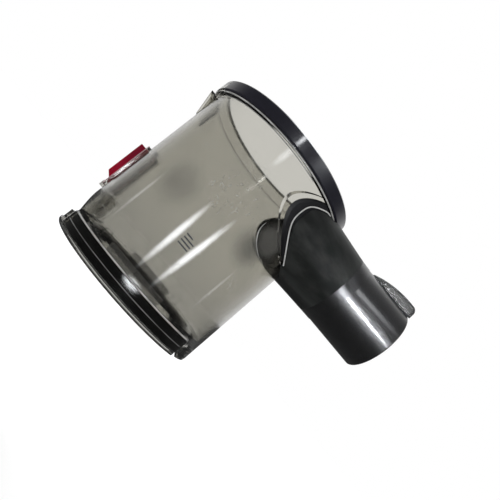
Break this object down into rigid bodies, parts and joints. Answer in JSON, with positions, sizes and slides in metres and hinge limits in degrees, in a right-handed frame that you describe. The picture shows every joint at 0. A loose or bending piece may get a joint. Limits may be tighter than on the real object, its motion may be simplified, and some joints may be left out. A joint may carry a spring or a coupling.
{
  "type": "cyclone dust bin",
  "caption": "Clear cylindrical dust bin with a dark half ring at its mouth, a flared inlet duct and wand socket, a red release button and a hinged, sealed base lid.",
  "frame": {"origin": "on the cylinder's axis, in the plane of the base lid's underside", "axes": "+Z along the cylinder to its mouth, +X along the inlet socket away from the bin"},
  "size_m": [0.1804, 0.1106, 0.1248],
  "materials": {
    "clear_plastic": "clear, faintly smoky",
    "navy_black_plastic": "gloss",
    "black_rubber": "smooth rubber",
    "red_plastic": "gloss, tinted",
    "steel": "drawn",
    "graphite_plastic": "satin",
    "metallic_grey_plastic": "metallic gloss",
    "grey_plastic": "fine texture",
    "black_plastic": "matt",
    "contact_metal": "plated",
    "pale_rubber": "soft"
  },
  "bodies": {
    "bin": {"bin_shell": "clear_plastic", "mouth_ring": "navy_black_plastic", "inlet_collar": "navy_black_plastic", "mouth_seal": "black_rubber", "hinge_pin": "steel", "button_spring": "steel", "cover_screws": "steel", "inlet_duct": "graphite_plastic", "inlet_socket": "metallic_grey_plastic", "connector_cover": "grey_plastic", "contact_block": "black_plastic", "contact_pins": "contact_metal", "inlet_gasket": "pale_rubber"},
    "lid": {"base_lid": "clear_plastic", "base_seal": "black_rubber"},
    "button": {"release_button": "red_plastic"}
  },
  "joints": [
    {"name": "lid_hinge", "type": "hinge", "parent": "bin", "child": "lid", "pos_m": [0.0475, 0, 0.0042], "axis": [0, -1, 0], "range_deg": [0, 100]},
    {"name": "button_press", "type": "slide", "parent": "bin", "child": "button", "axis": [1, 0, 0], "range_m": [0, 0.0015], "stiffness_N_per_m": 600, "deforming": ["button_spring"]}
  ]
}
